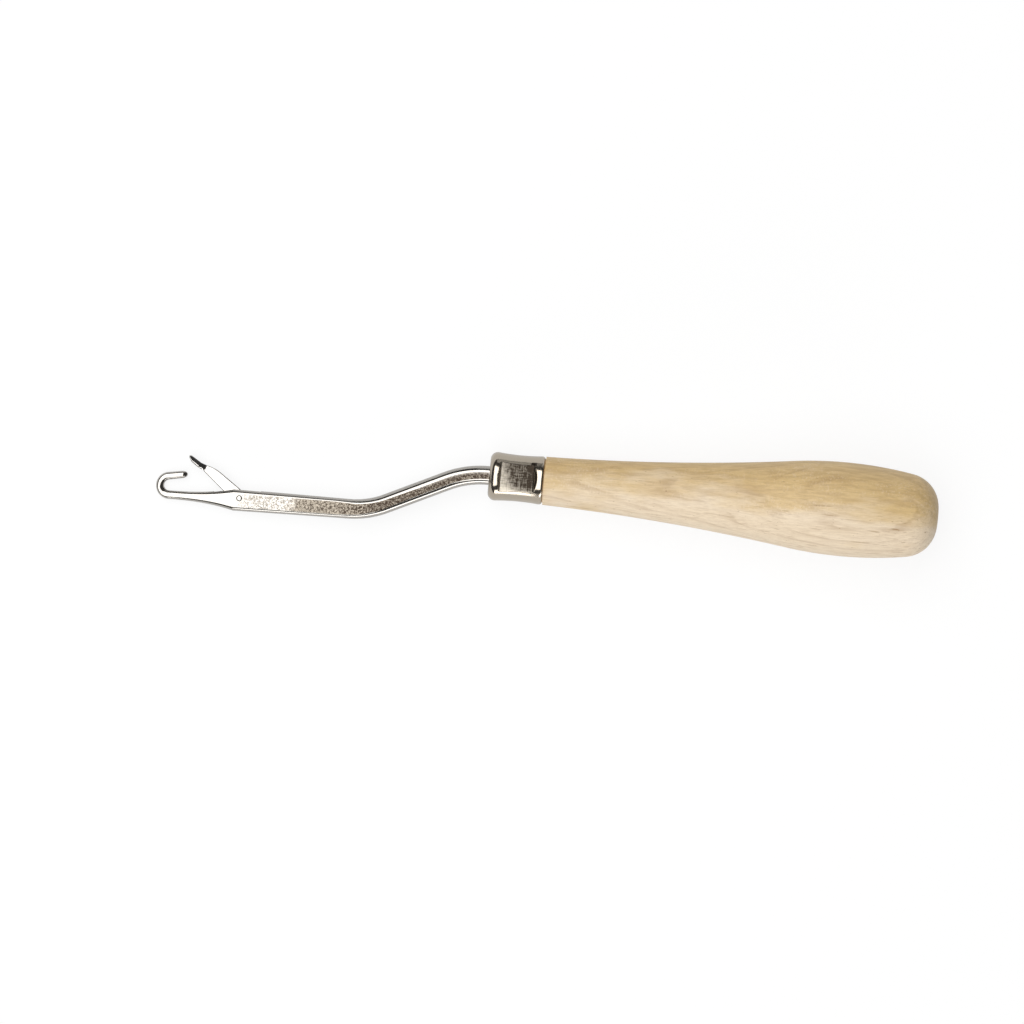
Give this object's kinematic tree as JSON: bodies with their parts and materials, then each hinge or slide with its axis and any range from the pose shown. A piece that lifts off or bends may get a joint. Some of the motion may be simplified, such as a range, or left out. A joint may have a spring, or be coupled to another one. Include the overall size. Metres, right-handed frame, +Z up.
{
  "type": "latch hook tool",
  "caption": "Hand tool for knotting yarn into rug canvas: turned wooden handle, pressed metal ferrule, cranked steel shank with a hook, and a pinned latch that closes over the hook's tip.",
  "frame": {"origin": "on the table, below the middle of the tool's bounding box, with the tool lying on its side, resting on the handle's bulb and the hook's bend", "axes": "+X from the hook towards the butt of the handle, +Y towards the side that the hook opens to, +Z up, away from the table; the handle's own axis rises 3.655 degrees from the bulb towards the ferrule and falls to the hook"},
  "size_m": [0.1646, 0.0224, 0.0202],
  "materials": {
    "wood": "pale turned hardwood under a thin satin varnish",
    "nickel": "nickel-plated drawn sheet, the pressed flats brushed across",
    "steel": "nickel-plated steel, tumbled bright",
    "latch_steel": "nickel-plated pressed steel",
    "pin_steel": "bare steel, riveted"
  },
  "bodies": {
    "tool": {"handle": "wood", "ferrule": "nickel", "hook_shank": "steel", "latch_pin": "pin_steel"},
    "latch": {"latch": "latch_steel"}
  },
  "joints": [
    {"name": "latch_pivot", "type": "hinge", "parent": "tool", "child": "latch", "pos_m": [-0.06456, -0.00848, 0.00198], "axis": [-0.0638, 0, 0.998], "range_deg": [-100, 14]}
  ]
}
